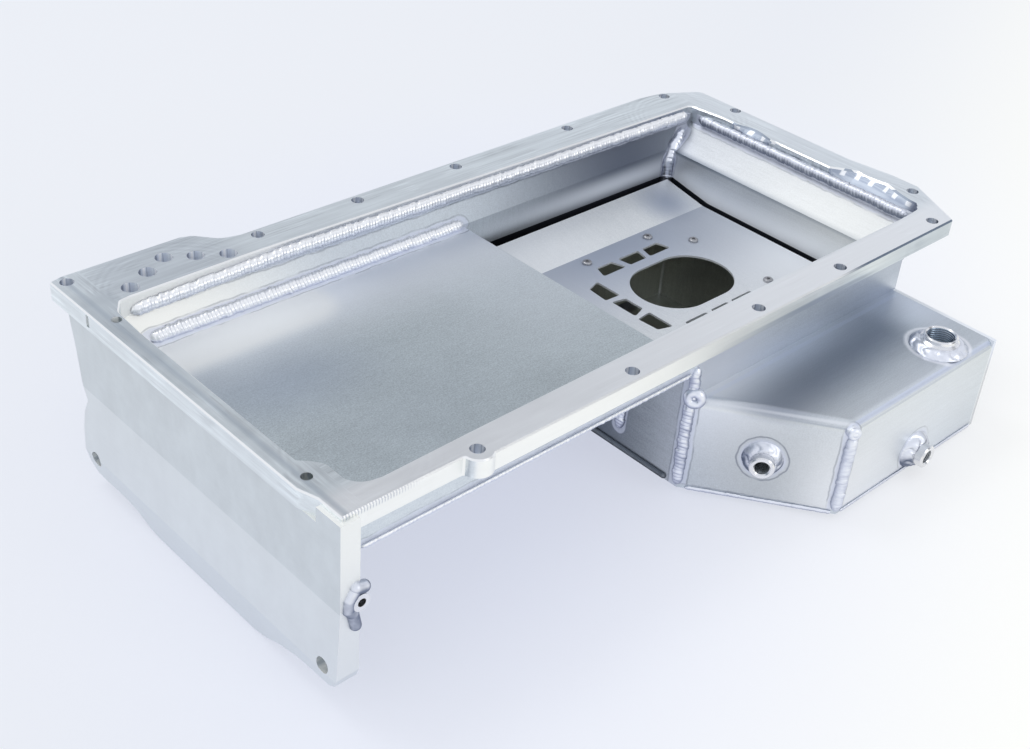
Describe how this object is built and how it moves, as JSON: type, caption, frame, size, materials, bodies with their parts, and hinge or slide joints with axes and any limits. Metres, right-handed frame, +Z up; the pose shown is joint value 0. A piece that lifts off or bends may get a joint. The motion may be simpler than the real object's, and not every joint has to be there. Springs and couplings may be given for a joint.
{
  "type": "engine oil pan",
  "caption": "Welded aluminium engine oil pan: thick bolt rail, shallow tray, deep baffled sump with a side kick-out, threaded bungs and a bellhousing plate.",
  "frame": {"origin": "centre of the four mid-length rail bolts, in the gasket face", "axes": "+Z up out of the gasket face; +X along the pan from the bellhousing plate to the deep sump; -Y towards the kick-out"},
  "size_m": [0.5525, 0.3675, 0.1314],
  "materials": {
    "machined_aluminium": "fine machined",
    "sheet_aluminium": "mill-finish brushed sheet",
    "weld_aluminium": "rippled weld",
    "stainless_screw": "stainless screw"
  },
  "bodies": {
    "root": {"back_wall": "sheet_aluminium", "baffle_box": "sheet_aluminium", "baffle_tray": "sheet_aluminium", "bellhousing_plate": "machined_aluminium", "bung_angled": "machined_aluminium", "bung_side": "machined_aluminium", "bung_top": "machined_aluminium", "far_wall": "sheet_aluminium", "kickout_shell": "sheet_aluminium", "plate_boss": "machined_aluminium", "rail": "machined_aluminium", "shallow_floor": "sheet_aluminium", "shallow_front_wall": "sheet_aluminium", "sump_floor": "sheet_aluminium", "sump_rear_wall": "sheet_aluminium", "tray_nuts": "stainless_screw", "tray_screws": "stainless_screw", "weld_bottom_rear": "weld_aluminium", "weld_bung_angled": "weld_aluminium", "weld_bung_side": "weld_aluminium", "weld_bung_top": "weld_aluminium", "weld_floor_back": "weld_aluminium", "weld_floor_rear": "weld_aluminium", "weld_kickout_corner": "weld_aluminium", "weld_plate_boss": "weld_aluminium", "weld_plate_floor": "weld_aluminium", "weld_rail_back": "weld_aluminium", "weld_rail_far": "weld_aluminium", "weld_rail_front": "weld_aluminium", "weld_rear_wall_stitch": "weld_aluminium", "weld_shallow_front": "weld_aluminium", "weld_sump_rear_corner": "weld_aluminium", "weld_wall_corner": "weld_aluminium"}
  },
  "joints": []
}
